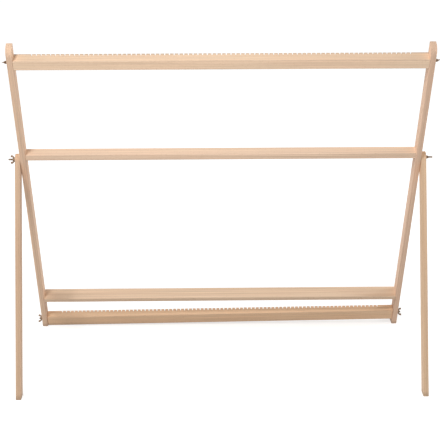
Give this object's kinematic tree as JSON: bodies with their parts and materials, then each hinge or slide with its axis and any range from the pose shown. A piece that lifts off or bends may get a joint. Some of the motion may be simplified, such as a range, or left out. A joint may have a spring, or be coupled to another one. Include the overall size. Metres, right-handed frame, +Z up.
{
  "type": "tapestry loom",
  "caption": "Free-standing tapestry loom: leaning wooden frame on folding legs, with notched warp beams that turn and clamp with wing nuts.",
  "frame": {"origin": "on the floor, at the middle of the loom's outline in plan", "axes": "+X along the beams to the weaver's right, +Y from the legs towards the uprights' feet, +Z up"},
  "size_m": [1.4342, 0.6262, 1.1726],
  "materials": {
    "upright_wood": "planed pale beech, unvarnished",
    "leg_wood": "planed pale beech, unvarnished",
    "warp_beam_wood": "planed pale beech, unvarnished",
    "cross_bar_wood": "planed pale beech, unvarnished",
    "screw_steel": "plain zinc-plated steel",
    "insert_brass": "turned brass",
    "thread_steel": "dark bronzed steel",
    "washer_steel": "dark bronzed steel",
    "wing_nut_steel": "dark bronzed steel"
  },
  "bodies": {
    "frame": {"left_upright": "upright_wood", "right_upright": "upright_wood", "middle_bar": "cross_bar_wood", "lower_bar": "cross_bar_wood", "middle_bar_screws": "screw_steel", "lower_bar_screws": "screw_steel", "left_pivot_bolt": "thread_steel", "right_pivot_bolt": "thread_steel", "top_left_washer": "washer_steel", "top_right_washer": "washer_steel"},
    "left_leg": {"left_leg": "leg_wood", "left_pivot_washer": "washer_steel"},
    "right_leg": {"right_leg": "leg_wood", "right_pivot_washer": "washer_steel"},
    "left_pivot_nut": {"left_pivot_wing_nut": "wing_nut_steel"},
    "right_pivot_nut": {"right_pivot_wing_nut": "wing_nut_steel"},
    "top_beam": {"top_beam": "warp_beam_wood", "top_left_insert": "insert_brass", "top_right_insert": "insert_brass", "top_left_stud": "thread_steel", "top_right_stud": "thread_steel"},
    "top_left_nut": {"top_left_wing_nut": "wing_nut_steel"},
    "top_right_nut": {"top_right_wing_nut": "wing_nut_steel"},
    "bottom_washers": {"bottom_left_washer": "washer_steel", "bottom_right_washer": "washer_steel"},
    "bottom_beam": {"bottom_beam": "warp_beam_wood", "bottom_left_insert": "insert_brass", "bottom_right_insert": "insert_brass", "bottom_left_stud": "thread_steel", "bottom_right_stud": "thread_steel"},
    "bottom_left_nut": {"bottom_left_wing_nut": "wing_nut_steel"},
    "bottom_right_nut": {"bottom_right_wing_nut": "wing_nut_steel"}
  },
  "joints": [
    {"name": "left_leg_fold", "type": "hinge", "parent": "frame", "child": "left_leg", "pos_m": [-0.6843, -0.0054, 0.74713], "axis": [1, 0, 0], "range_deg": [-130, 39]},
    {"name": "right_leg_fold", "type": "hinge", "parent": "frame", "child": "right_leg", "pos_m": [0.6843, -0.0054, 0.74713], "axis": [1, 0, 0], "range_deg": [-130, 39]},
    {"name": "left_pivot_nut_turn", "type": "hinge", "parent": "frame", "child": "left_pivot_nut", "pos_m": [-0.6993, -0.0054, 0.74713], "axis": [1, 0, 0], "continuous": true},
    {"name": "right_pivot_nut_turn", "type": "hinge", "parent": "frame", "child": "right_pivot_nut", "pos_m": [0.6993, -0.0054, 0.74713], "axis": [1, 0, 0], "continuous": true},
    {"name": "top_beam_turn", "type": "hinge", "parent": "frame", "child": "top_beam", "pos_m": [0, -0.1487, 1.11092], "axis": [1, 0, 0], "continuous": true},
    {"name": "top_left_nut_turn", "type": "hinge", "parent": "top_beam", "child": "top_left_nut", "pos_m": [-0.6808, -0.1487, 1.11092], "axis": [1, 0, 0], "continuous": true},
    {"name": "top_right_nut_turn", "type": "hinge", "parent": "top_beam", "child": "top_right_nut", "pos_m": [0.6808, -0.1487, 1.11092], "axis": [1, 0, 0], "continuous": true},
    {"name": "bottom_beam_slide", "type": "slide", "parent": "frame", "child": "bottom_washers", "axis": [0, -0.3665, 0.9304], "range_m": [-0.002, 0.04]},
    {"name": "bottom_beam_turn", "type": "hinge", "parent": "bottom_washers", "child": "bottom_beam", "pos_m": [0, 0.27406, 0.03768], "axis": [0.9999, -0.0056, 0.0142], "continuous": true},
    {"name": "bottom_left_nut_turn", "type": "hinge", "parent": "bottom_beam", "child": "bottom_left_nut", "pos_m": [0, 0.27406, 0.03768], "axis": [0.9999, -0.0056, 0.0142], "continuous": true},
    {"name": "bottom_right_nut_turn", "type": "hinge", "parent": "bottom_beam", "child": "bottom_right_nut", "pos_m": [0, 0.27406, 0.03768], "axis": [0.9999, -0.0056, 0.0142], "continuous": true}
  ]
}
